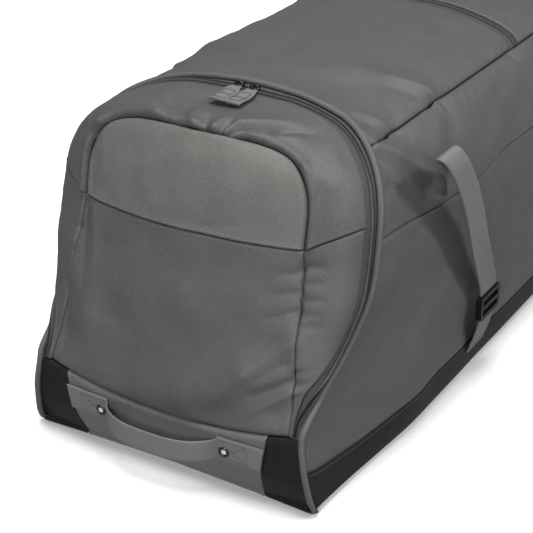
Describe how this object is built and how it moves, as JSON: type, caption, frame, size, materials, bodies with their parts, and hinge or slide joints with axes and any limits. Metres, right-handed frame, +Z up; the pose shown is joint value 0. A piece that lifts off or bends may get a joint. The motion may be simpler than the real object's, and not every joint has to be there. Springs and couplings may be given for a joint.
{
  "type": "rolling gear bag",
  "caption": "Soft wheeled duffel with a zipped, sloping front door, sewn pocket, zipper across the top, black base, side haul straps, front grab handle and rear wheels.",
  "frame": {"origin": "on the floor, under the middle of the bounding box", "axes": "+Y runs the length of the bag from the door to the wheels, +Z up, +X to the right of someone who faces the way +Y points"},
  "size_m": [0.5078, 0.9014, 0.447],
  "materials": {
    "grey_cloth": "matt heathered grey woven cloth",
    "black_cloth": "smooth black coated cloth with a slight sheen",
    "piping_cloth": "dark grey cloth over a cord",
    "zipper_tape": "ribbed dark grey tape",
    "zipper_teeth": "moulded dark coil",
    "dark_metal": "dark plated metal",
    "pull_cloth": "pale grey stitched tab",
    "grey_webbing": "tight woven grey webbing",
    "black_plastic": "moulded black plastic",
    "tyre_rubber": "dark rubber tread"
  },
  "bodies": {
    "bag": {"side_upper_right": "grey_cloth", "side_upper_left": "grey_cloth", "side_lower_right": "grey_cloth", "side_lower_left": "grey_cloth", "top_panel": "grey_cloth", "lid_panel": "grey_cloth", "rear_panel": "grey_cloth", "pocket_panel": "grey_cloth", "door_skirt": "grey_cloth", "door_arch": "grey_cloth", "door_cheek_right": "grey_cloth", "door_cheek_left": "grey_cloth", "front_strip": "grey_cloth", "base_tray": "black_cloth", "front_corner_right": "black_cloth", "front_corner_left": "black_cloth", "front_piping": "piping_cloth", "rear_piping": "piping_cloth", "rear_piping_foot": "piping_cloth", "door_zipper_tape": "zipper_tape", "lid_zipper_tape": "zipper_tape", "door_zipper_coil": "zipper_teeth", "lid_zipper_coil": "zipper_teeth", "zip_slider_right": "dark_metal", "zip_slider_left": "dark_metal", "lid_slider_right": "dark_metal", "lid_slider_left": "dark_metal", "handle_rivet_right": "dark_metal", "handle_rivet_left": "dark_metal", "zip_pull_right": "pull_cloth", "zip_pull_left": "pull_cloth", "lid_pull_right": "pull_cloth", "lid_pull_left": "pull_cloth", "grab_handle": "grey_webbing", "haul_strap_right": "grey_webbing", "haul_strap_left": "grey_webbing", "strap_anchor_right": "grey_webbing", "strap_anchor_left": "grey_webbing", "strap_buckle_right": "black_plastic", "strap_buckle_left": "black_plastic", "wheel_housing_right": "black_plastic", "wheel_housing_left": "black_plastic"},
    "wheel_right": {"wheel_hub_right": "black_plastic", "wheel_tyre_right": "tyre_rubber"},
    "wheel_left": {"wheel_hub_left": "black_plastic", "wheel_tyre_left": "tyre_rubber"}
  },
  "joints": [
    {"name": "wheel_right_spin", "type": "hinge", "parent": "bag", "child": "wheel_right", "pos_m": [0.155, 0.413, 0.0388], "axis": [1, 0, 0], "continuous": true},
    {"name": "wheel_left_spin", "type": "hinge", "parent": "bag", "child": "wheel_left", "pos_m": [-0.155, 0.413, 0.0388], "axis": [1, 0, 0], "continuous": true}
  ]
}
